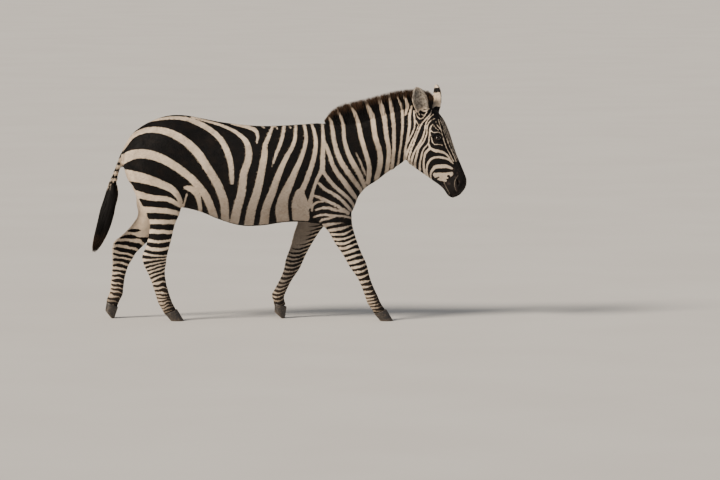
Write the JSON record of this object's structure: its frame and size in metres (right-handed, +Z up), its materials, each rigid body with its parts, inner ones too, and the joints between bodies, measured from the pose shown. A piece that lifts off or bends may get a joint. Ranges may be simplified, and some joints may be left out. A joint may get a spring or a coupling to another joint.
{
  "type": "plains zebra, still museum model",
  "caption": "Life-size still model of a plains zebra walking, head turned a little to its right, mouth closed, standing on level spots of its hooves.",
  "frame": {"origin": "on the ground under the middle of the animal's bounding box", "axes": "+X toward the head, +Y toward the animal's left side, +Z up"},
  "size_m": [2.3999, 0.4635, 1.5065],
  "materials": {
    "coat": "short flat hair, cream white striped with brown black",
    "hair": "long coarse hair, striped mane and dark tail tuft",
    "hoof": "dark horn, dull and finely ridged",
    "eye": "wet, nearly black brown"
  },
  "bodies": {
    "root": {"trunk": "coat", "neck": "coat", "head": "coat", "ear_left": "coat", "ear_right": "coat", "tail_dock": "coat", "fore_left_upper": "coat", "fore_left_lower": "coat", "fore_right_upper": "coat", "fore_right_lower": "coat", "hind_left_upper": "coat", "hind_left_lower": "coat", "hind_right_upper": "coat", "hind_right_lower": "coat", "mane": "hair", "tail_tuft": "hair", "hoof_fore_left": "hoof", "hoof_fore_right": "hoof", "hoof_hind_left": "hoof", "hoof_hind_right": "hoof", "eye_left": "eye", "eye_right": "eye"}
  },
  "joints": []
}
